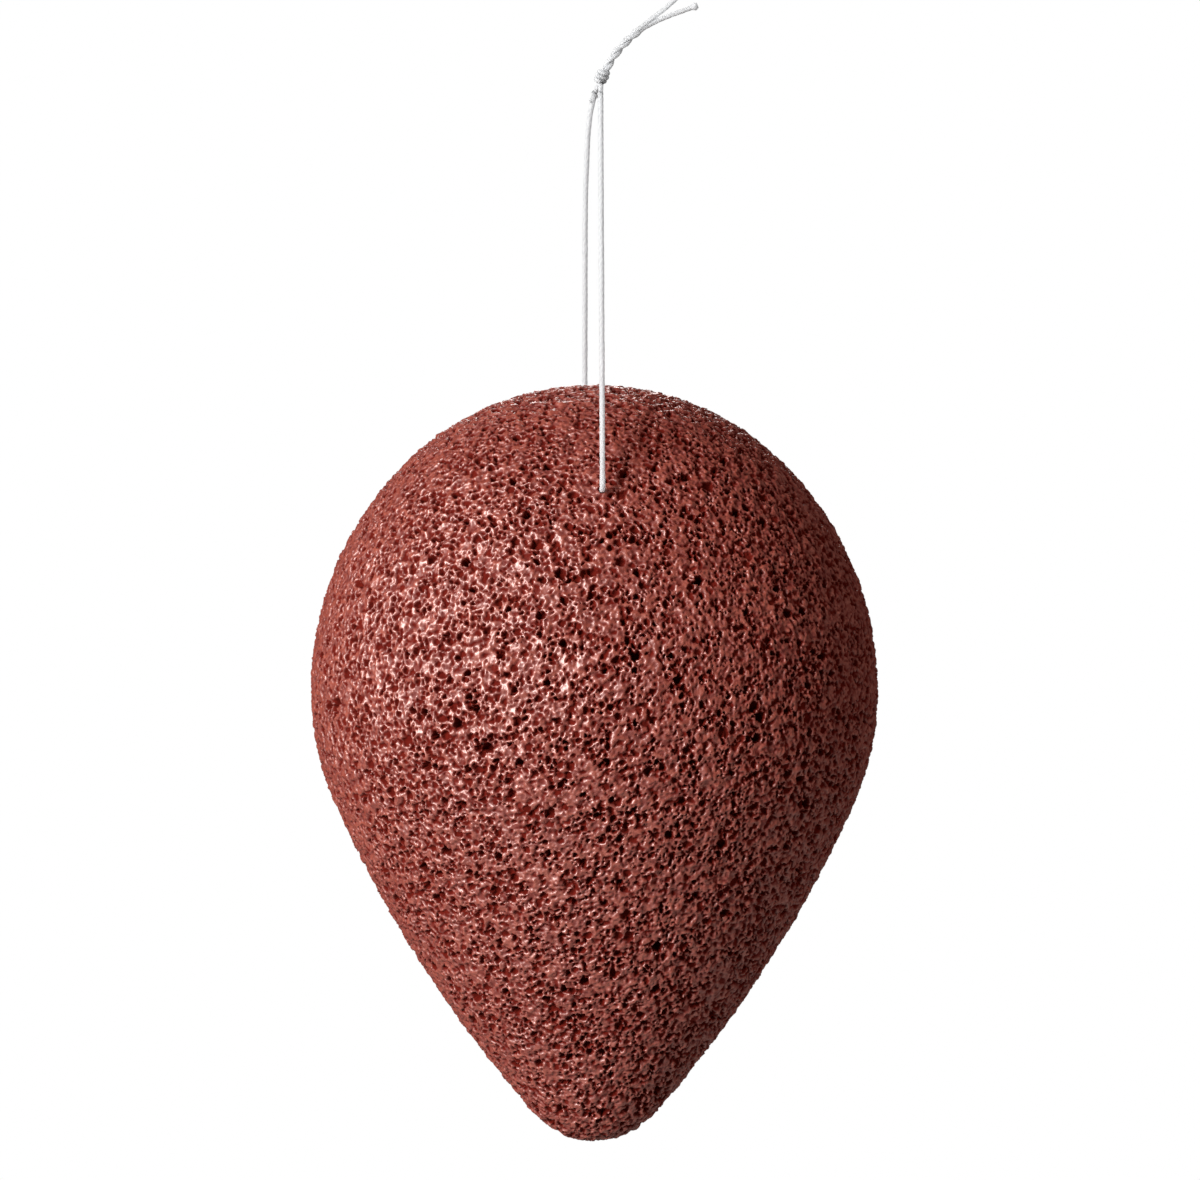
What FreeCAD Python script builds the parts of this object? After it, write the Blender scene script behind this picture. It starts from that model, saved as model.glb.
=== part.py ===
import FreeCAD, Part
import math
import os
import Sketcher

# A drop-shaped konjac sponge that hangs on a knotted loop of cotton string.
# Millimetres, +Z up. The origin is the fork under the knot, where a hook holds the loop.
# The front of the sponge looks along -Y, and the string is threaded through it from front to rear.

Vector = FreeCAD.Vector
os.makedirs("parts", exist_ok=True)
doc = FreeCAD.newDocument("konjac_sponge")

# Driving dimensions
sizes = {
    # The drop: its outline seen from the front is five arcs, from the tip up to the crown
    "sponge_height": 80.0,
    "sponge_width": 60.0,
    "sponge_depth": 45.0,
    "widest_height": 47.7,
    "tip_radius": 8.5,
    "flank_radius": 130.0,
    # The crown's radius, beside that of an ellipse as wide and as tall above the widest place
    "crown_round_share": 1.02,
    # Where the drop hangs, measured from the fork under the knot
    "crown_below_fork": 31.2,
    "axis_left_of_fork": 0.58,
    # The string and the tunnel that a needle left for it
    "string_diameter": 0.65,
    "tunnel_clearance": 0.05,
    "tunnel_overrun": 5.0,
    "mouth_below_crown": 11.4,
    "front_mouth_right": 0.79,
    "rear_mouth_left": 1.04,
    "mouth_span": 34.1,
    # The knot: a short barrel of string with two turns laid round it
    "knot_length": 1.9,
    "knot_barrel_diameter": 1.42,
    "knot_turn_diameter": 1.24,
    "knot_turn_spacing": 0.6,
    "knot_right": 0.2,
    "knot_above_fork": 1.2,
}
knot_lean_degrees = 28.9
knot_turn_skew_degrees = 14.0

# Routes of the string's free stretches, as points read from the photograph, each from the
# end that is held: the two strands from the mouths of the tunnel, the two tails from the knot
front_strand_route = [
    (0.21, -17.05, -42.60),
    (0.25, -17.85, -42.60),
    (0.26, -18.30, -41.94),
    (0.06, -0.62, -0.55),
]
rear_strand_route = [
    (-1.62, 17.05, -42.60),
    (-1.66, 17.85, -42.60),
    (-1.66, 18.30, -41.94),
    (-1.58, 5.62, -11.80),
    (-1.30, 2.58, -4.90),
    (-1.02, 1.42, -2.20),
    (-0.55, 0.70, -0.55),
]
tail_long_route = [
    (0.66, 0.36, 2.03),
    (1.27, 0.36, 3.14),
    (2.11, 0.36, 4.22),
    (3.16, 0.36, 5.30),
    (4.22, 0.36, 6.28),
    (5.52, 0.36, 7.35),
    (6.90, 0.36, 8.40),
    (7.95, 0.36, 9.34),
    (8.74, 0.36, 10.25),
]
tail_short_route = [
    (0.66, -0.36, 2.03),
    (1.27, -0.36, 3.14),
    (2.11, -0.36, 4.22),
    (3.16, -0.36, 5.24),
    (4.30, -0.36, 6.14),
    (5.74, -0.36, 6.96),
    (7.17, -0.36, 7.58),
    (8.72, -0.36, 8.12),
    (10.30, -0.36, 8.72),
]

sheet = doc.addObject("Spreadsheet::Sheet", "sizes")
for row, (alias, value) in enumerate(sizes.items(), start=1):
    sheet.set(f"A{row}", alias)
    sheet.set(f"B{row}", str(value))
    sheet.setAlias(f"B{row}", alias)
doc.recompute()


def size(alias):
    return float(sheet.get(alias))


def facing(start, end):
    return math.atan2(end.y - start.y, end.x - start.x)


# The drop, turned from its front outline and then flattened from front to rear
def draw_outline(sketch):
    half_width, tall = size("sponge_width") / 2, size("sponge_height")
    widest, tip, flank = size("widest_height"), size("tip_radius"), size("flank_radius")
    crown = size("crown_round_share") * half_width**2 / (tall - widest)
    crown_centre = Vector(0, tall - crown, 0)
    haunch_centre = Vector(0, widest, 0)
    tip_centre = Vector(0, tip, 0)

    # The shoulder stands upright at the widest place and runs smoothly into the crown
    rise = crown_centre.y - widest
    shoulder = (half_width**2 + rise**2 - crown**2) / (2 * half_width - 2 * crown)
    shoulder_centre = Vector(half_width - shoulder, widest, 0)
    if shoulder > crown:
        shoulder_end = facing(shoulder_centre, crown_centre)
    else:
        shoulder_end = facing(crown_centre, shoulder_centre)

    # The flank's centre lies where arcs inside it touch both the haunch and the tip
    to_haunch, to_tip = flank - half_width, flank - tip
    apart = haunch_centre.y - tip_centre.y
    above_tip = (to_tip**2 - to_haunch**2 + apart**2) / (2 * apart)
    flank_centre = Vector(-math.sqrt(to_tip**2 - above_tip**2), tip_centre.y + above_tip, 0)

    joints = [
        -math.pi / 2,
        facing(flank_centre, tip_centre),
        facing(flank_centre, haunch_centre),
        0,
        shoulder_end,
        math.pi / 2,
    ]
    centres = [tip_centre, flank_centre, haunch_centre, shoulder_centre, crown_centre]
    radii = [tip, flank, half_width, shoulder, crown]
    for index, (centre, radius) in enumerate(zip(centres, radii)):
        circle = Part.Circle(centre, Vector(0, 0, 1), radius)
        sketch.addGeometry(Part.ArcOfCircle(circle, joints[index], joints[index + 1]))
    sketch.addGeometry(Part.LineSegment(Vector(0, tall, 0), Vector()))

    start, end, middle = 1, 2, 3
    tip_arc, flank_arc, haunch_arc, shoulder_arc, crown_arc, axis = range(6)
    origin, upright = -1, -2
    for arc in (tip_arc, flank_arc, haunch_arc, shoulder_arc):
        sketch.addConstraint(Sketcher.Constraint("Tangent", arc, end, arc + 1, start))
    sketch.addConstraint(Sketcher.Constraint("Coincident", crown_arc, end, axis, start))
    sketch.addConstraint(Sketcher.Constraint("Coincident", axis, end, tip_arc, start))
    sketch.addConstraint(Sketcher.Constraint("Coincident", tip_arc, start, origin, start))
    sketch.addConstraint(Sketcher.Constraint("Vertical", axis))
    for arc in (tip_arc, haunch_arc, crown_arc):
        sketch.addConstraint(Sketcher.Constraint("PointOnObject", arc, middle, upright))
    level = Sketcher.Constraint("Horizontal", haunch_arc, middle, shoulder_arc, middle)
    sketch.addConstraint(level)
    bound = {
        tip_arc: "sizes.tip_radius",
        flank_arc: "sizes.flank_radius",
        haunch_arc: "sizes.sponge_width / 2",
        crown_arc: "sizes.crown_round_share * (sizes.sponge_width / 2) ^ 2"
        " / (sizes.sponge_height - sizes.widest_height)",
    }
    for arc, expression in bound.items():
        number = sketch.addConstraint(Sketcher.Constraint("Radius", arc, radii[arc]))
        sketch.setExpression(f"Constraints[{number}]", expression)
    number = sketch.addConstraint(Sketcher.Constraint("Distance", axis, tall))
    sketch.setExpression(f"Constraints[{number}]", "sizes.sponge_height")
    up_to = Sketcher.Constraint("DistanceY", origin, start, haunch_arc, middle, widest)
    sketch.setExpression(f"Constraints[{sketch.addConstraint(up_to)}]", "sizes.widest_height")


def make_sponge():
    body = doc.addObject("PartDesign::Body", "turned_drop")
    outline = body.newObject("Sketcher::SketchObject", "front_outline")
    planes = {plane.Role: plane for plane in body.Origin.OriginFeatures}
    outline.AttachmentSupport = [(planes["XZ_Plane"], "")]
    outline.MapMode = "FlatFace"
    draw_outline(outline)
    turned = body.newObject("PartDesign::Revolution", "turned_outline")
    turned.Profile = outline
    turned.ReferenceAxis = (outline, ["V_Axis"])
    turned.Angle = 360
    doc.recompute()

    drop = doc.addObject("Part::Scale", "flattened_drop")
    drop.Base = body
    drop.Uniform = False
    drop.setExpression("YScale", "sizes.sponge_depth / sizes.sponge_width")

    # The tunnel runs a little aslant, from right of the axis in front to left of it behind
    tunnel = doc.addObject("Part::Cylinder", "tunnel")
    tunnel.setExpression("Radius", "sizes.string_diameter / 2 + sizes.tunnel_clearance")
    tunnel.setExpression("Height", "sizes.mouth_span + 2 * sizes.tunnel_overrun")
    right, left, span = size("front_mouth_right"), size("rear_mouth_left"), size("mouth_span")
    height = size("sponge_height") - size("mouth_below_crown")
    front_mouth = Vector(right, -span / 2, height)
    backwards = Vector(-right - left, span, 0).normalize()
    turn = FreeCAD.Rotation(Vector(0, 0, 1), backwards)
    tunnel.Placement = FreeCAD.Placement(front_mouth - backwards * size("tunnel_overrun"), turn)

    sponge = doc.addObject("Part::Cut", "sponge")
    sponge.Base = drop
    sponge.Tool = tunnel
    sponge.setExpression("Placement.Base.x", "-sizes.axis_left_of_fork")
    sponge.setExpression("Placement.Base.z", "-sizes.crown_below_fork - sizes.sponge_height")
    return sponge


# The string inside the tunnel, which the sponge turns on, from one strand's end to the other's
def make_through():
    front, rear = Vector(*front_strand_route[0]), Vector(*rear_strand_route[0])
    through = doc.addObject("Part::Cylinder", "string_through")
    through.setExpression("Radius", "sizes.string_diameter / 2")
    through.Height = (rear - front).Length
    through.Placement = FreeCAD.Placement(front, FreeCAD.Rotation(Vector(0, 0, 1), rear - front))
    return through


# A tube along straight runs that are joined by tangent arcs
def round_corners(route):
    points = [Vector(*point) for point in route]
    corner_share = 0.45
    edges = []
    radii = []
    place = points[0]
    for before, corner, after in zip(points, points[1:], points[2:]):
        arriving, leaving = corner - before, after - corner
        turn = arriving.getAngle(leaving)
        cut = corner_share * min(arriving.Length, leaving.Length)
        radius = cut / math.tan(turn / 2)
        first = corner - arriving.normalize() * cut
        last = corner + leaving.normalize() * cut
        inward = (leaving - arriving).normalize()
        middle = corner + inward * (radius / math.cos(turn / 2) - radius)
        edges.append(Part.LineSegment(place, first).toShape())
        edges.append(Part.Arc(first, middle, last).toShape())
        radii.append(radius)
        place = last
    edges.append(Part.LineSegment(place, points[-1]).toShape())
    return Part.Wire(edges), radii


def make_tube(name, route):
    wire, radii = round_corners(route)
    print(f"{name}: length {wire.Length:.1f} mm, radii", [round(radius, 2) for radius in radii])
    path = doc.addObject("Part::Feature", f"{name}_path")
    path.Shape = wire
    section = doc.addObject("Part::Circle", f"{name}_section")
    section.setExpression("Radius", "sizes.string_diameter / 2")
    along = Vector(*route[1]) - Vector(*route[0])
    section.Placement = FreeCAD.Placement(Vector(*route[0]), FreeCAD.Rotation(Vector(0, 0, 1), along))
    tube = doc.addObject("Part::Sweep", name)
    tube.Sections = [section]
    tube.Spine = (path, [f"Edge{number}" for number in range(1, len(wire.Edges) + 1)])
    tube.Solid = True
    tube.Frenet = False
    doc.recompute()
    expected = math.pi * (size("string_diameter") / 2) ** 2 * wire.Length
    print(f"{name}: volume {tube.Shape.Volume:.2f} of {expected:.2f} mm3")
    return tube


# The knot leans to the right, as the tails do that leave its upper end
def make_knot():
    centre = Vector(size("knot_right"), 0, size("knot_above_fork"))
    lean = FreeCAD.Rotation(Vector(0, 1, 0), knot_lean_degrees)
    barrel = doc.addObject("Part::Cylinder", "knot_barrel")
    barrel.setExpression("Radius", "sizes.knot_barrel_diameter / 2")
    barrel.setExpression("Height", "sizes.knot_length")
    foot = centre - lean.multVec(Vector(0, 0, size("knot_length") / 2))
    barrel.Placement = FreeCAD.Placement(foot, lean)
    pieces = [barrel]
    for name, side in (("lower", -1), ("upper", 1)):
        loop = doc.addObject("Part::Torus", f"knot_{name}_turn")
        loop.setExpression("Radius1", "sizes.knot_turn_diameter / 2")
        loop.setExpression("Radius2", "sizes.string_diameter / 2")
        skew = FreeCAD.Rotation(Vector(1, 0, 0), side * knot_turn_skew_degrees)
        offset = Vector(0, 0, side * size("knot_turn_spacing") / 2)
        loop.Placement = FreeCAD.Placement(centre + lean.multVec(offset), lean * skew)
        pieces.append(loop)
    knot = doc.addObject("Part::MultiFuse", "knot")
    knot.Shapes = pieces
    return knot


parts = [
    make_sponge(),
    make_through(),
    make_tube("front_strand", front_strand_route),
    make_tube("rear_strand", rear_strand_route),
    make_knot(),
    make_tube("tail_long", tail_long_route),
    make_tube("tail_short", tail_short_route),
]
doc.recompute()

for item in doc.Objects:
    if "Invalid" in item.State or "Error" in item.State:
        raise RuntimeError(f"{item.Label} failed: {item.State}")
for part in parts:
    if part.Shape.isNull() or not part.Shape.isValid() or len(part.Shape.Solids) != 1:
        raise RuntimeError(f"{part.Label} has no sound solid")
for part in parts:
    part.Shape.exportStep(f"parts/{part.Label}.step")
    box = part.Shape.BoundBox
    print(f"{part.Label}: {box.XLength:.2f} x {box.YLength:.2f} x {box.ZLength:.2f} mm,",
          f"{part.Shape.Volume:.1f} mm3")
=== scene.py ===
import math

import bmesh
import bpy
import numpy as np
from mathutils import Matrix, Vector, noise
from mathutils.kdtree import KDTree


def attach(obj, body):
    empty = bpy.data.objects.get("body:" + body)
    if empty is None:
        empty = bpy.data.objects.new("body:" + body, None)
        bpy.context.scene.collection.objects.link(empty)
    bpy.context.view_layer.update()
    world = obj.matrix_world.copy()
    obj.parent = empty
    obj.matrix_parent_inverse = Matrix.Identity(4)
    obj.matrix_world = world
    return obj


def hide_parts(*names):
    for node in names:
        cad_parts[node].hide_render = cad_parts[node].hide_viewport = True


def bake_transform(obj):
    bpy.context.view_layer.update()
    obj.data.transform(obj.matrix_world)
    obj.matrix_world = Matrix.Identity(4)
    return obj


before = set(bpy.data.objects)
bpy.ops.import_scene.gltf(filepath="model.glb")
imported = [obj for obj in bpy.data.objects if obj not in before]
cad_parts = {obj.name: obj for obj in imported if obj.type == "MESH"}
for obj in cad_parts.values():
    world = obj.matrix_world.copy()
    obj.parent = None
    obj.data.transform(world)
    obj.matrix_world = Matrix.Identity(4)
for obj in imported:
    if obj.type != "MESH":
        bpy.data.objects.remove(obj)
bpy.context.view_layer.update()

scene = bpy.context.scene
millimetre = 0.001


def hexColor(code):
    channels = [int(code[i:i + 2], 16) / 255 for i in (1, 3, 5)]
    return [c / 12.92 if c <= 0.04045 else ((c + 0.055) / 1.055) ** 2.4 for c in channels] + [1.0]


# adds one node: settings are its own options, the values of its sockets or a ramp's stops, and links
# feed its sockets
def addNode(tree, kind, settings=None, links=None):
    node = tree.nodes.new(kind)
    for name, value in (settings or {}).items():
        if name == "stops":
            ramp = node.color_ramp.elements
            ramp.remove(ramp[1])
            for i, (place, code) in enumerate(value):
                stop = ramp.new(place) if i else ramp[0]
                stop.position = place
                stop.color = hexColor(code)
        elif isinstance(name, str) and hasattr(node, name):
            setattr(node, name, value)
        else:
            node.inputs[name].default_value = value
    for socket, source in (links or {}).items():
        tree.links.new(source, node.inputs[socket])
    return node


def newMaterial(name):
    material = bpy.data.materials.new(name)
    material.use_nodes = True
    tree = material.node_tree
    tree.nodes.clear()
    return material, tree


def addPiece(name, mesh, material, body, nodes):
    piece = bpy.data.objects.new(name, mesh)
    scene.collection.objects.link(piece)
    mesh.materials.clear()
    mesh.materials.append(material)
    if body:
        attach(piece, body)
    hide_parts(*nodes)
    print(name, len(mesh.vertices), "vertices", len(mesh.polygons), "faces")
    return piece


# the mesh that an object shows, without the object
def takeMesh(holder):
    scene.collection.objects.link(holder)
    shown = holder.evaluated_get(bpy.context.evaluated_depsgraph_get())
    mesh = bpy.data.meshes.new_from_object(shown)
    bpy.data.objects.remove(holder)
    return mesh


# a mesh's points in mm, and their normals
def readMesh(mesh):
    places = np.empty(len(mesh.vertices) * 3)
    mesh.vertices.foreach_get("co", places)
    normals = np.empty(len(mesh.vertices) * 3)
    mesh.vertex_normals.foreach_get("vector", normals)
    return places.reshape(-1, 3) / millimetre, normals.reshape(-1, 3)


# moves a mesh's points to places in mm, keeps one value on each and shades it smooth
def moveMesh(mesh, places, name, values):
    mesh.vertices.foreach_set("co", (places * millimetre).ravel())
    mesh.attributes.new(name, "FLOAT", "POINT").data.foreach_set("value", values)
    mesh.polygons.foreach_set("use_smooth", np.ones(len(mesh.polygons), bool))
    mesh.update()


def plantTree(places):
    tree = KDTree(len(places))
    for i, place in enumerate(places):
        tree.insert(place, i)
    tree.balance()
    return tree


# the distance run along a line at each of its points
def runAlong(line):
    return np.concatenate([[0], np.cumsum(np.linalg.norm(np.diff(line, axis=0), axis=1))])


# camera: a long lens, level with the middle of the picture
cameraSet = dict(
    distance=0.80,
    middle=(0.0, -0.05295),
    wide=0.12656,           # what the picture spans at the string, side to side
    sensor=36,
)

cameraData = bpy.data.cameras.new("camera")
cameraData.sensor_fit = "HORIZONTAL"
cameraData.sensor_width = cameraSet["sensor"]
cameraData.lens = cameraSet["sensor"] * cameraSet["distance"] / cameraSet["wide"]
cameraData.clip_start = 0.01
camera = bpy.data.objects.new("camera", cameraData)
camera.location = (cameraSet["middle"][0], -cameraSet["distance"], cameraSet["middle"][1])
camera.rotation_euler = (math.radians(90), 0, 0)
scene.collection.objects.link(camera)
scene.camera = camera
print("camera", round(cameraData.lens, 1), "mm lens")


# string of bleached cotton, spun and twisted: matt and a little hairy, and light soaks into it,
# which softens its shaded side
cottonLook = dict(
    # hollow: the grooves between the plies are coloured darker than the cotton, which is painted shade in
    # the creases
    cotton="#EAECF0", hollow="#DEE1E6",
    fibreMm=0.24,           # real fibres are finer than a pixel, so they are drawn this coarse
    slubMm=1.8,
    soakMm=2.0,             # how far light spreads inside
)


def cottonString():
    material, tree = newMaterial("bleached cotton string")
    place = addNode(tree, "ShaderNodeTexCoord")
    fibre = addNode(tree, "ShaderNodeTexNoise",
                    {"Scale": 1000 / cottonLook["fibreMm"], "Detail": 3.0, "Roughness": 0.6},
                    {"Vector": place.outputs["Object"]})
    slub = addNode(tree, "ShaderNodeTexNoise",
                   {"Scale": 1000 / cottonLook["slubMm"], "Detail": 2.0},
                   {"Vector": place.outputs["Object"]})
    # darker in the grooves between the plies, as painted shade, and uneven along the yarn by the slub's
    # random tone
    hollow = addNode(tree, "ShaderNodeAttribute", {"attribute_name": "plyHollow"})
    shade = addNode(tree, "ShaderNodeMath", {"operation": "MULTIPLY_ADD", 1: 0.25},
                    {0: slub.outputs["Fac"], 2: hollow.outputs["Fac"]})
    toneAndPaintedShade = addNode(tree, "ShaderNodeValToRGB",
                   {"stops": [(0.05, cottonLook["cotton"]), (0.9, cottonLook["hollow"])]},
                   {"Fac": shade.outputs[0]})
    bump = addNode(tree, "ShaderNodeBump", {"Strength": 0.5, "Distance": 0.00004},
                   {"Height": fibre.outputs["Fac"]})
    surface = addNode(tree, "ShaderNodeBsdfPrincipled",
                      {"Roughness": 0.85, "IOR": 1.5, "Specular IOR Level": 0.25,
                       "Subsurface Weight": 1.0, "Subsurface Radius": (1, 1, 1),
                       "Subsurface Scale": cottonLook["soakMm"] * millimetre,
                       "Sheen Weight": 0.30, "Sheen Roughness": 0.5},
                      {"Base Color": toneAndPaintedShade.outputs["Color"], "Normal": bump.outputs["Normal"]})
    addNode(tree, "ShaderNodeOutputMaterial", {}, {"Surface": surface.outputs[0]})
    return material


# a smooth line through a route: the route's points steer a spline, which is read back evenly spaced
def followRoute(name, route, step):
    curve = bpy.data.curves.new(name, "CURVE")
    curve.dimensions = "3D"
    curve.resolution_u = 24
    spline = curve.splines.new("NURBS")
    spline.points.add(len(route) - 1)
    for point, place in zip(spline.points, route):
        point.co = (*(Vector(place) * millimetre), 1)
    spline.order_u = 3
    spline.use_endpoint_u = True
    line = takeMesh(bpy.data.objects.new(name, curve))
    points = np.array([v.co for v in line.vertices])
    bpy.data.curves.remove(curve)
    bpy.data.meshes.remove(line)
    run = runAlong(points)
    even = np.linspace(0, run[-1], max(4, int(run[-1] / step)))
    return np.stack([np.interp(even, run, points[:, k]) for k in range(3)], 1), run[-1]


# side directions that travel along a line without spinning
def carrySides(line):
    along = np.gradient(line, axis=0)
    along /= np.linalg.norm(along, axis=1)[:, None]
    side = np.cross(along[0], (0.31, 0.22, 0.93))       # any way that no string starts along
    sides = []
    for direction in along:
        side = side - direction * (side @ direction)
        side /= np.linalg.norm(side)
        sides.append(side)
    sides = np.array(sides)
    return sides, np.cross(along, sides)


stringLook = dict(
    diameter=0.58, plies=3, pitch=2.3,      # mm
    groove=0.11, narrow=1.5,                # how deep and how narrow the grooves between plies are
    slub=0.07, slubMm=0.9, seed=3,          # how uneven the yarn is, over what length, and its own draw
    bulbBack=0.35, bulbLong=0.28,           # mm, where a frayed end is thickest, and over what length
    step=0.10, bevel=7,
)


# a round tube along a line, with the grooves of its twisted plies pressed in
def twistString(line, diameter, seed, bulb=0.0):
    curve = bpy.data.curves.new("string", "CURVE")
    curve.dimensions = "3D"
    curve.bevel_depth = diameter / 2 * millimetre
    curve.bevel_resolution = stringLook["bevel"]
    curve.use_fill_caps = True
    spline = curve.splines.new("POLY")
    spline.points.add(len(line) - 1)
    spline.points.foreach_set("co", np.column_stack([line, np.ones(len(line))]).ravel())
    mesh = takeMesh(bpy.data.objects.new("string", curve))
    bpy.data.curves.remove(curve)

    places = readMesh(mesh)[0]
    middle = line / millimetre
    run = runAlong(middle)
    tree = plantTree(middle)
    nearest = np.array([tree.find(p)[1] for p in places])
    sides, ups = carrySides(line)
    out = places - middle[nearest]
    turn = np.arctan2((out * ups[nearest]).sum(1), (out * sides[nearest]).sum(1))
    twist = turn - math.tau * run[nearest] / stringLook["pitch"]
    hollow = (1 - np.abs(np.cos(stringLook["plies"] / 2 * twist))) ** stringLook["narrow"]
    uneven = np.array([noise.noise((s / stringLook["slubMm"], seed, 0.5)) for s in run])[nearest]
    width = 1 - stringLook["groove"] * hollow + stringLook["slub"] * uneven
    fromBulb = run[nearest] - run[-1] + stringLook["bulbBack"]
    width *= 1 + bulb * np.exp(-(fromBulb / stringLook["bulbLong"]) ** 2)
    # plyHollow also darkens the string's colour in the grooves, as painted shade
    moveMesh(mesh, middle[nearest] + out * width[:, None], "plyHollow", hollow)
    return mesh


cotton = cottonString()

# the loop, with the solids' routes in mm: down the front, through the sponge and up the back
frontRoute = [(0.06, -0.62, -0.55), (0.2565, -17.99, -41.20), (0.26, -18.30, -41.94),
              (0.25, -17.85, -42.60), (0.21, -17.05, -42.60)]
rearRoute = [(-1.62, 17.05, -42.60), (-1.66, 17.85, -42.60), (-1.66, 18.30, -41.94),
             (-1.658, 17.99, -41.20), (-1.598, 8.54, -18.75), (-1.58, 5.62, -11.80),
             (-1.41, 3.77, -7.60), (-1.30, 2.58, -4.90), (-1.02, 1.42, -2.20), (-0.55, 0.70, -0.55)]

stringStep = stringLook["step"] * millimetre
loopLine, loopLength = followRoute("loop", frontRoute + rearRoute, stringStep)
loopMesh = twistString(loopLine, stringLook["diameter"], stringLook["seed"])
loopString = addPiece("loop_string", loopMesh, cotton, None,
                      ["front_strand", "rear_strand", "string_through"])
print("loop of string", round(loopLength / millimetre, 1), "mm")

# the tails: twisted round each other, then parting
tailLook = dict(
    diameter=0.52, seed=11,
    twist=3.0, hold=0.22,                   # mm for a full turn, and from the middle to each tail
    part=(4.8, 6.8),                        # where along them, in mm, they begin and finish parting
)
longRoute = [(0.35, 0.0, 1.45), (0.66, 0.0, 2.03), (1.27, 0.0, 3.14), (2.11, 0.0, 4.22),
             (3.16, 0.0, 5.30), (4.22, 0.0, 6.28), (5.52, 0.0, 7.35), (6.90, 0.0, 8.40),
             (7.95, 0.0, 9.34), (8.74, 0.0, 10.25)]
shortRoute = [(0.35, 0.0, 1.45), (0.66, 0.0, 2.03), (1.27, 0.0, 3.14), (2.11, 0.0, 4.22),
              (3.16, 0.0, 5.24), (4.30, 0.0, 6.14), (5.74, 0.0, 6.96), (7.17, 0.0, 7.58),
              (8.72, 0.0, 8.12), (10.30, 0.0, 8.72)]


def tailLine(name, route, turn):
    line, length = followRoute(name, route, stringStep)
    sides, ups = carrySides(line)
    run = np.linspace(0, length / millimetre, len(line))
    start, end = tailLook["part"]
    free = np.clip((run - start) / (end - start), 0, 1)
    hold = tailLook["hold"] * millimetre * (1 - free * free * (3 - 2 * free))
    angle = turn + math.tau * run / tailLook["twist"]
    return line + (np.cos(angle) * hold)[:, None] * sides + (np.sin(angle) * hold)[:, None] * ups


tails = []
for name, route, turn, bulb in (("tail_long", longRoute, 0.0, 0.0),
                                ("tail_short", shortRoute, math.pi, 0.7)):
    mesh = twistString(tailLine(name, route, turn), tailLook["diameter"],
                       tailLook["seed"] + len(tails), bulb)
    tails.append(addPiece(name + "_string", mesh, cotton, "knot", [name]))

# the knot: the string wound round both strands and drawn tight, with its end taken once more round
# the rear strand below
knotLook = dict(
    middle=(0.2, 0.0, 1.2), lean=28.9, skew=14.0,       # mm and degrees, as the solid's
    diameter=0.54, seed=21,
    wrap=dict(turns=3.2, across=0.96, rise=0.46, start=0.6, tuck=1.04, perTurn=14),
    hitch=dict(turns=1.7, across=0.52, start=0.6, tuck=1.02, points=27, thickness=0.7,
               top=(-0.42, 0.52, -0.15), foot=(-0.84, 1.14, -1.45)),
    rearCore=[(-0.55, 0.70, -0.55), (-0.25, 0.30, 0.2), (0.05, 0.12, 0.9), (0.35, 0.10, 1.5),
              (0.66, 0.0, 2.03)],
    frontCore=[(0.06, -0.62, -0.55), (0.06, -0.30, 0.1), (0.20, -0.12, 0.9), (0.40, -0.10, 1.5),
               (0.66, 0.0, 2.03)],
)


# a point of a coil across its length: a barrel whose ends are tucked in
def coilPoint(coil, angle, share):
    reach = coil["across"] / 2 * math.sqrt(coil["tuck"] - (2 * share - 1) ** 4)
    return Vector((math.cos(angle) * reach, math.sin(angle) * reach, 0))


def wrapRoute():
    wrap = knotLook["wrap"]
    place = (Matrix.Translation(Vector(knotLook["middle"]))
             @ Matrix.Rotation(math.radians(knotLook["lean"]), 4, "Y")
             @ Matrix.Rotation(math.radians(knotLook["skew"]), 4, "X"))
    route = []
    for i in range(int(wrap["perTurn"] * wrap["turns"]) + 1):
        turn = i / wrap["perTurn"]
        point = coilPoint(wrap, math.tau * turn + wrap["start"], turn / wrap["turns"])
        point.z = (turn - wrap["turns"] / 2) * wrap["rise"]
        route.append(place @ point)
    return route


def hitchRoute():
    hitch = knotLook["hitch"]
    route = []
    for i in range(hitch["points"]):
        share = i / (hitch["points"] - 1)
        along = Vector(hitch["top"]).lerp(Vector(hitch["foot"]), share)
        route.append(along + coilPoint(hitch, math.tau * hitch["turns"] * share + hitch["start"], share))
    return route


def joinMeshes(name, meshes):
    bm = bmesh.new()
    for mesh in meshes:
        bm.from_mesh(mesh)
    joined = bpy.data.meshes.new(name)
    bm.to_mesh(joined)
    bm.free()
    return joined


knotMeshes = []
for route, thickness in ((wrapRoute(), 1), (knotLook["rearCore"], 1), (knotLook["frontCore"], 1),
                         (hitchRoute(), knotLook["hitch"]["thickness"])):
    line = followRoute("knot", route, stringStep)[0]
    knotMeshes.append(twistString(line, knotLook["diameter"] * thickness,
                                  knotLook["seed"] + len(knotMeshes)))
knotPiece = addPiece("knot_string", joinMeshes("knot_string", knotMeshes), cotton, "knot",
                     ["knot"])

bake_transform(loopString)
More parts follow.
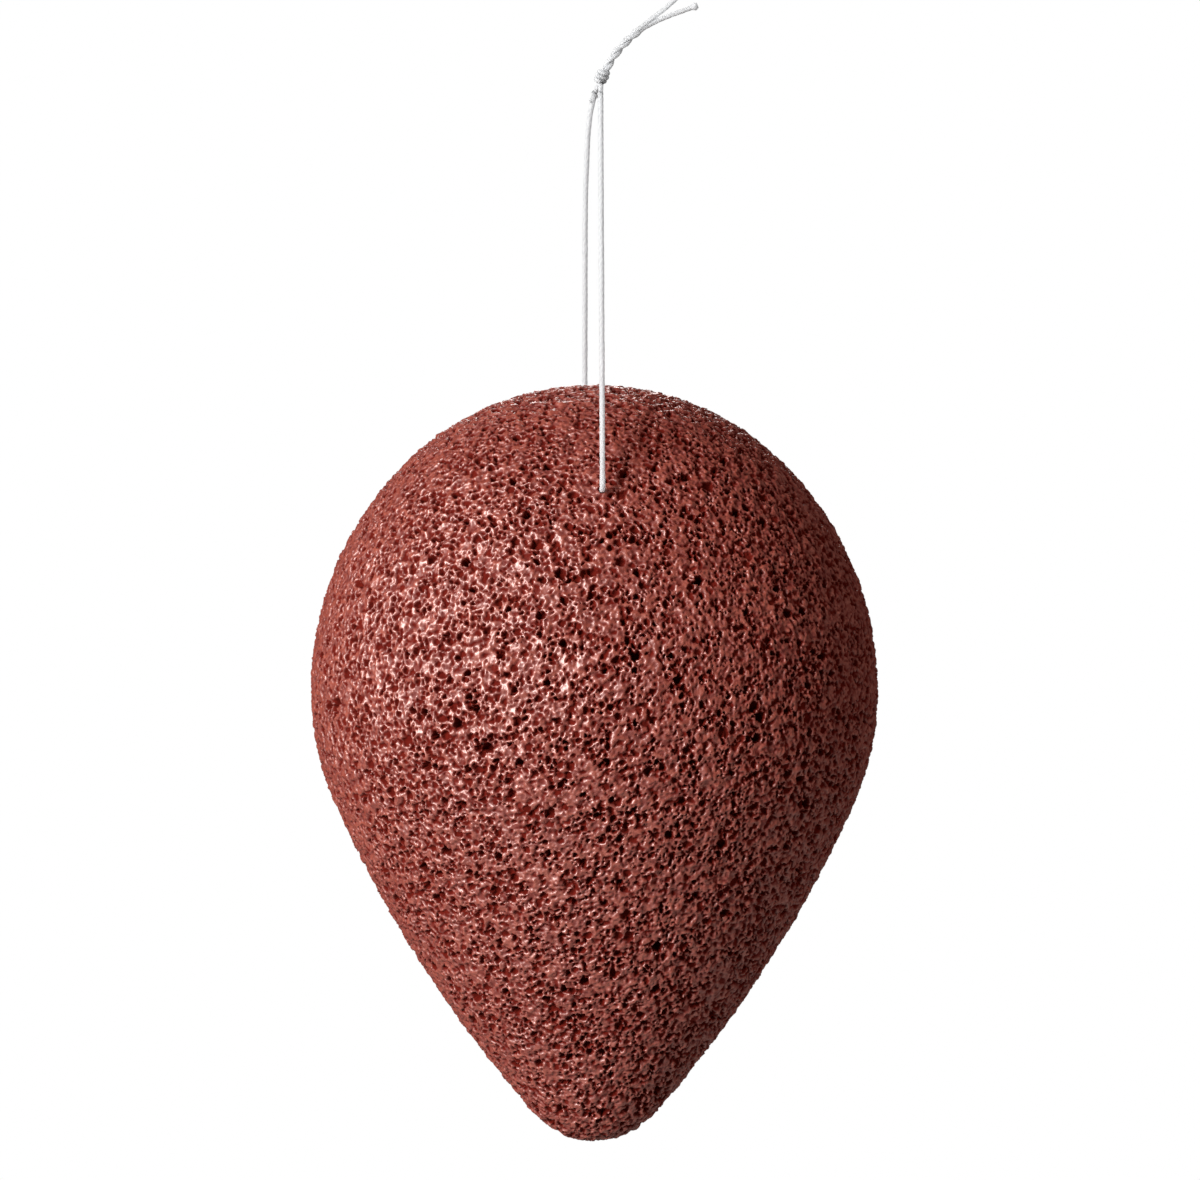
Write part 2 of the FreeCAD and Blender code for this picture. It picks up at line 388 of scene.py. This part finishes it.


# konjac foam: a gel that is moulded, frozen and dried, so thin glossy struts stand round dull open
# cells; the colour darkens with depth into the cells, which is painted shade
foamLook = dict(
    face=0.132,                             # mm, the side of one face
    merge=0.002,                            # mm, within which the solid's points become one
    seed=5,
    cells=[                                 # radius and depth in mm, from and to, and how many a square mm
        (0.46, 0.64, 0.70, 1.00, 0.030),    # the few large pits
        (0.31, 0.47, 0.26, 0.70, 0.80),     # open cells
        (0.21, 0.33, 0.19, 0.56, 6.0),      # small cells, open and half closed
        (0.12, 0.20, 0.12, 0.38, 30.0),     # those between them
    ],
    shallow=1.3,                            # above 1, more cells are shallow than deep
    spacing=0.85,                           # how near two cells may come, as a share of their two radii
    near=7,                                 # how many cells round a point may hold it
    wall=(0.00, 0.10), wallBias=0.4,        # mm, half a wall's thickness, and how often it is thick
    reach=1.08, rim=0.40,                   # how far a cell reaches, and how far its rim strays
    slope=0.060, drop=1.4,                  # mm, how soon a cell falls from its wall, and how abruptly
    clump=1.9, clumpMm=1.5,                 # how much deeper and shallower cells keep together
    clumpRange=(0.35, 1.9),                 # the shallowest and deepest that makes them
    bend=0.25, bendMm=0.40,                 # mm, how far the walls stray, and over what length
    ridge=0.50, ridgeFrom=0.06,             # mm, how far the walls dip, and where dips begin
    strayMm=0.45,                           # over what length wall, rim and ridge vary
    grit=0.08, gritMm=0.30,                 # mm, the crumbs on them
    inPits=0.4,                             # how much of dips and crumbs is left inside a cell
    lump=0.22, lumpMm=0.9,                  # mm, the unevenness of the whole skin
    tunnel=(-0.705, -42.60), slant=0.0537,  # mm, x and z of the string's tunnel, and its slant
    clear=0.80, mouth=0.56,                 # mm, what cells keep clear there, and what isn't sunk at all
)
# lighter on the strut tops and darker deeper in the cells: the darkening is painted shade in the pits
foamColors = dict(                          # by depth in mm
    ridges=[(0.00, "#BC604D"), (0.06, "#A64733"), (0.13, "#852819"), (0.24, "#6E190E"),
            (0.60, "#681509")],
    films=[(0.00, "#A0412E"), (0.06, "#8A2D1C"), (0.13, "#761D10"), (0.24, "#641309"),
           (0.60, "#5E1007")],
    patchMm=1.4,                            # over what length ridges and films take turns
    grainMm=0.42,                           # the gel's grain, drawn coarser than it is so that it shows
    glint="#FFEAE4",
    ior=1.9,                                # above the gel's own 1.5: many glints are too small to draw
)


def konjacFoam():
    material, tree = newMaterial("dried konjac foam")
    place = addNode(tree, "ShaderNodeTexCoord")
    depth = addNode(tree, "ShaderNodeAttribute", {"attribute_name": "pitDepth"})
    patch = addNode(tree, "ShaderNodeTexNoise",
                    {"Scale": 1000 / foamColors["patchMm"], "Detail": 4.0, "Roughness": 0.7},
                    {"Vector": place.outputs["Object"]})
    spread = addNode(tree, "ShaderNodeMapRange", {"From Min": 0.38, "From Max": 0.62},
                     {"Value": patch.outputs["Fac"]})
    # both ramps grow darker with depth, as painted shade in the cells; the patch noise mixes them as
    # random tone
    ridges = addNode(tree, "ShaderNodeValToRGB", {"stops": foamColors["ridges"]},
                     {"Fac": depth.outputs["Fac"]})
    films = addNode(tree, "ShaderNodeValToRGB", {"stops": foamColors["films"]},
                    {"Fac": depth.outputs["Fac"]})
    toneAndPaintedShade = addNode(tree, "ShaderNodeMix", {"data_type": "RGBA"},
                   {0: spread.outputs["Result"], 6: ridges.outputs["Color"], 7: films.outputs["Color"]})
    grain = addNode(tree, "ShaderNodeTexNoise",
                    {"Scale": 1000 / foamColors["grainMm"], "Detail": 2.0},
                    {"Vector": place.outputs["Object"]})
    bump = addNode(tree, "ShaderNodeBump", {"Strength": 0.5, "Distance": 0.00008},
                   {"Height": grain.outputs["Fac"]})
    # struts shine, and the floors of the cells are dull
    gloss = addNode(tree, "ShaderNodeMapRange",
                    {"From Min": 0.05, "From Max": 0.24, "To Min": 0.42, "To Max": 1.0},
                    {"Value": depth.outputs["Fac"]})
    shine = addNode(tree, "ShaderNodeMapRange",
                    {"From Min": 0.05, "From Max": 0.26, "To Min": 1.0, "To Max": 0.1},
                    {"Value": depth.outputs["Fac"]})
    surface = addNode(tree, "ShaderNodeBsdfPrincipled",
                      {"IOR": foamColors["ior"], "Specular IOR Level": 0.5,
                       "Specular Tint": hexColor(foamColors["glint"])},
                      {"Base Color": toneAndPaintedShade.outputs[2], "Roughness": gloss.outputs["Result"],
                       "Specular IOR Level": shine.outputs["Result"],
                       "Normal": bump.outputs["Normal"]})
    addNode(tree, "ShaderNodeOutputMaterial", {}, {"Surface": surface.outputs[0]})
    return material


# a merged copy of the solid, recast in small even faces
def foamSkin(node):
    bm = bmesh.new()
    bm.from_mesh(node.data)
    bmesh.ops.remove_doubles(bm, verts=bm.verts, dist=foamLook["merge"] * millimetre)
    mesh = bpy.data.meshes.new("foam")
    bm.to_mesh(mesh)
    bm.free()
    holder = bpy.data.objects.new("foam", mesh)
    even = holder.modifiers.new("even faces", "REMESH")
    even.mode = "VOXEL"
    even.voxel_size = foamLook["face"] * millimetre
    soften = holder.modifiers.new("soften", "SMOOTH")
    soften.factor = 0.5
    soften.iterations = 4
    skin = takeMesh(holder)
    bpy.data.meshes.remove(mesh)
    return skin


# scatters the cells, the largest first, and drops those that come too near one already kept
def scatterCells(places, free, area):
    rng = np.random.default_rng(foamLook["seed"])
    at, radius, depth = [], [], []
    for small, large, low, deep, share in foamLook["cells"]:
        count = int(share * area)
        at.append(rng.choice(free, count))
        radius.append(small + (large - small) * rng.random(count))
        depth.append(low + (deep - low) * rng.random(count) ** foamLook["shallow"])
    at, radius, depth = np.concatenate(at), np.concatenate(radius), np.concatenate(depth)
    middles = places[at]
    tree = plantTree(middles)
    barred = np.zeros(len(at), bool)
    kept = []
    for i in range(len(at)):
        if barred[i]:
            continue
        kept.append(i)
        for _, j, away in tree.find_range(middles[i], foamLook["spacing"] * 2 * radius[i]):
            if j > i and away < foamLook["spacing"] * (radius[i] + radius[j]):
                barred[j] = True
    return middles[kept], radius[kept], depth[kept]


# lays the six sides of the skin out flat for baking, three beside each other in two rows
def layFlat(mesh, places):
    corners = np.empty(len(mesh.loops), int)
    mesh.loops.foreach_get("vertex_index", corners)
    counts = np.empty(len(mesh.polygons), int)
    mesh.polygons.foreach_get("loop_total", counts)
    facing = np.empty(len(mesh.polygons) * 3)
    mesh.polygons.foreach_get("normal", facing)
    facing = facing.reshape(-1, 3)
    axis = np.abs(facing).argmax(1)
    side = 2 * axis + (facing[np.arange(len(axis)), axis] > 0)
    axis, side = np.repeat(axis, counts), np.repeat(side, counts)
    margin = 0.01
    share = (places - places.min(0)) / (places.max(0) - places.min(0)) * (1 - 2 * margin) + margin
    across = (share[corners, (axis + 1) % 3] + side % 3) / 3
    up = (share[corners, (axis + 2) % 3] + side // 3) / 2
    mesh.uv_layers.new(name="OFBake").data.foreach_set("uv", np.stack([across, up], 1).ravel())


# noise at each place, over a length in mm
def noiseAt(places, length):
    return np.array([noise.noise(p / length) for p in places])


# each point's cell, and how far the point lies inside that cell's own walls and rim
def findCells(places, middles, radius):
    bends = np.array([noise.noise_vector(p / foamLook["bendMm"]) for p in places])
    bent = places + foamLook["bend"] * bends
    tree = plantTree(middles)
    near = np.array([[found[1] for found in tree.find_n(p, foamLook["near"])] for p in bent])
    power = ((bent[:, None] - middles[near]) ** 2).sum(2) - radius[near] ** 2
    first = power.argmin(1)
    rows = np.arange(len(places))
    holder = near[rows, first]
    apart = np.linalg.norm(middles[near] - middles[holder][:, None], axis=2)
    apart[rows, first] = 1
    toWall = (power - power[rows, first][:, None]) / (2 * apart)
    toWall[rows, first] = np.inf
    return holder, toWall.min(1), np.linalg.norm(bent - middles[holder], axis=1)


# each point of the skin sinks into the cell that holds it, by its distance from the nearest wall
def sinkCells(mesh):
    noise.seed_set(foamLook["seed"])        # or noise_vector would give another foam at each run
    places, normals = readMesh(mesh)
    layFlat(mesh, places)
    areas = np.empty(len(mesh.polygons))
    mesh.polygons.foreach_get("area", areas)
    area = areas.sum() / millimetre ** 2
    tunnelX, tunnelZ = foamLook["tunnel"]
    fromTunnel = np.hypot(places[:, 0] - tunnelX + foamLook["slant"] * places[:, 1],
                          places[:, 2] - tunnelZ)
    free = np.nonzero(fromTunnel > foamLook["clear"])[0]
    middles, radius, depth = scatterCells(places, free, area)
    print("cells", len(middles), "on", round(area), "square mm")

    holder, toWall, toMiddle = findCells(places, middles, radius)
    stray = np.array([noise.noise_vector(p) for p in places / foamLook["strayMm"]])
    thin, thick = foamLook["wall"]
    wall = thin + (thick - thin) * np.clip(stray[:, 0] + foamLook["wallBias"], 0, 1)
    toRim = radius[holder] * (foamLook["reach"] + foamLook["rim"] * stray[:, 1]) - toMiddle
    inside = np.maximum(np.minimum(toWall, toRim) - wall, 0)
    fall = 1 - np.exp(-(inside / foamLook["slope"]) ** foamLook["drop"])

    broad = noiseAt(places, foamLook["lumpMm"])
    gritty = noiseAt(places, foamLook["gritMm"])
    dips = foamLook["ridge"] * np.clip(stray[:, 2] - foamLook["ridgeFrom"], 0, 1)
    dips += foamLook["grit"] * (gritty + 0.5)
    clump = 1 + foamLook["clump"] * noiseAt(middles, foamLook["clumpMm"])
    depth = depth * np.clip(clump, *foamLook["clumpRange"])
    pit = np.maximum(depth[holder] * fall + dips * (1 - (1 - foamLook["inPits"]) * fall), 0)
    sink = pit + (broad + 0.5) * foamLook["lump"]
    sink[fromTunnel < foamLook["mouth"]] = 0
    # pitDepth also sets the foam's colour, darker deeper in the cells, as painted shade
    moveMesh(mesh, places - normals * sink[:, None], "pitDepth", pit)


skin = foamSkin(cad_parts["sponge"])
sinkCells(skin)
spongePiece = addPiece("sponge_foam", skin, konjacFoam(), "sponge", ["sponge"])


# floor, light and background
stageSet = dict(
    floorBelow=-0.27, floorAcross=1.2, floor="#A09F9D", lift=0.68,
    fade=(0.22, 0.49),      # where the floor begins and ends to clear, as shares of its width
    key=dict(place=(-0.68, -0.66, 0.16), size=(0.44, 0.80), power=13.8),
    fill=dict(place=(0.85, -0.35, 0.35), size=(0.70, 0.70), power=2.1),
    back=dict(place=(0.0, 0.80, 0.45), size=(0.25, 0.25), power=2.6),
    aim=(0.0, 0.0, -0.065),
    room=0.085,
)

floorMesh = bpy.data.meshes.new("floor")
bm = bmesh.new()
bmesh.ops.create_circle(bm, cap_ends=True, segments=96, radius=stageSet["floorAcross"] / 2,
                        matrix=Matrix.Translation((0, 0, stageSet["floorBelow"])))
bm.to_mesh(floorMesh)
bm.free()

# matt paper: pale, without gloss, and lifted to white for the camera
floorMaterial, tree = newMaterial("matt studio paper")
path = addNode(tree, "ShaderNodeLightPath")
place = addNode(tree, "ShaderNodeTexCoord")
flat = addNode(tree, "ShaderNodeMapping", {"Scale": (1, 1, 0)}, {"Vector": place.outputs["Object"]})
away = addNode(tree, "ShaderNodeVectorMath", {"operation": "LENGTH"}, {0: flat.outputs["Vector"]})
fade = addNode(tree, "ShaderNodeMapRange",
               {"interpolation_type": "SMOOTHSTEP",
                "From Min": stageSet["floorAcross"] * stageSet["fade"][0],
                "From Max": stageSet["floorAcross"] * stageSet["fade"][1]},
               {"Value": away.outputs["Value"]})
paper = addNode(tree, "ShaderNodeBsdfDiffuse", {"Color": hexColor(stageSet["floor"])})
lift = addNode(tree, "ShaderNodeMath", {"operation": "MULTIPLY", 1: stageSet["lift"]},
               {0: path.outputs["Is Camera Ray"]})
glow = addNode(tree, "ShaderNodeEmission", {"Color": (1, 1, 1, 1)}, {"Strength": lift.outputs[0]})
lit = addNode(tree, "ShaderNodeAddShader", {}, {0: paper.outputs[0], 1: glow.outputs[0]})
clear = addNode(tree, "ShaderNodeBsdfTransparent")
sheet = addNode(tree, "ShaderNodeMixShader", {},
                {0: fade.outputs[0], 1: lit.outputs[0], 2: clear.outputs[0]})
addNode(tree, "ShaderNodeOutputMaterial", {}, {"Surface": sheet.outputs[0]})
floorMesh.materials.append(floorMaterial)
floor = bpy.data.objects.new("floor", floorMesh)
scene.collection.objects.link(floor)

for name in ("key", "fill", "back"):
    lamp = bpy.data.lights.new(name, "AREA")
    lamp.shape = "ELLIPSE"
    lamp.size, lamp.size_y = stageSet[name]["size"]
    lamp.energy = stageSet[name]["power"]
    holder = bpy.data.objects.new(name, lamp)
    holder.location = stageSet[name]["place"]
    toward = Vector(stageSet["aim"]) - Vector(stageSet[name]["place"])
    holder.rotation_euler = toward.to_track_quat("-Z", "Y").to_euler()
    holder.visible_camera = False
    holder.visible_glossy = name != "fill"      # the fill only lifts the shadows and leaves no glints
    scene.collection.objects.link(holder)

# white behind the object; gloss sees the dim room, since nothing here is metal or glass
world = bpy.data.worlds.new("studio")
scene.world = world
world.use_nodes = True
tree = world.node_tree
tree.nodes.clear()
path = addNode(tree, "ShaderNodeLightPath")
room = addNode(tree, "ShaderNodeBackground", {"Strength": stageSet["room"]})
white = addNode(tree, "ShaderNodeBackground", {"Color": (1, 1, 1, 1), "Strength": 1.0})
shown = addNode(tree, "ShaderNodeMath", {"operation": "MAXIMUM"},
                {0: path.outputs["Is Camera Ray"], 1: path.outputs["Is Transmission Ray"]})
blend = addNode(tree, "ShaderNodeMixShader", {},
                {0: shown.outputs[0], 1: room.outputs[0], 2: white.outputs[0]})
addNode(tree, "ShaderNodeOutputWorld", {}, {"Surface": blend.outputs[0]})
scene.view_settings.view_transform = "Standard"
print("stage and lamps set")
